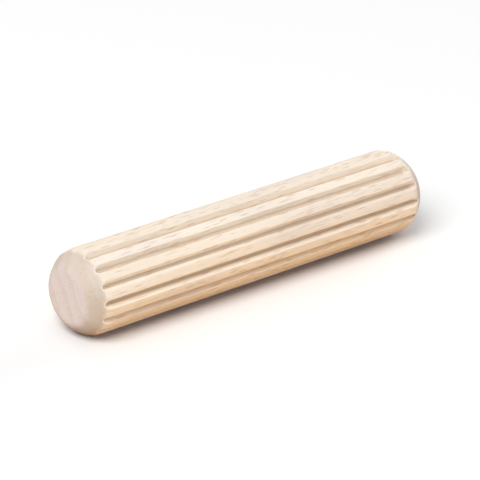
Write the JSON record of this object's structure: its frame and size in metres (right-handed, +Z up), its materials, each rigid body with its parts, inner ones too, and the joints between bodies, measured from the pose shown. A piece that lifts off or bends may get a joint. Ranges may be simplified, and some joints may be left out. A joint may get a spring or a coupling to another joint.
{
  "type": "dowel pin",
  "caption": "Straight fluted wooden dowel pin with crowned chamfered ends, glued half its length into each of two drilled boards to join them.",
  "frame": {"origin": "middle of the pin's length, on the surface that it lies on, below its axis", "axes": "+X along the pin, +Z up out of the surface, with one flute straight down"},
  "size_m": [0.04, 0.008, 0.008],
  "materials": {
    "beech": "bare, unfinished light hardwood"
  },
  "bodies": {
    "root": {"dowel_pin": "beech"}
  },
  "joints": []
}
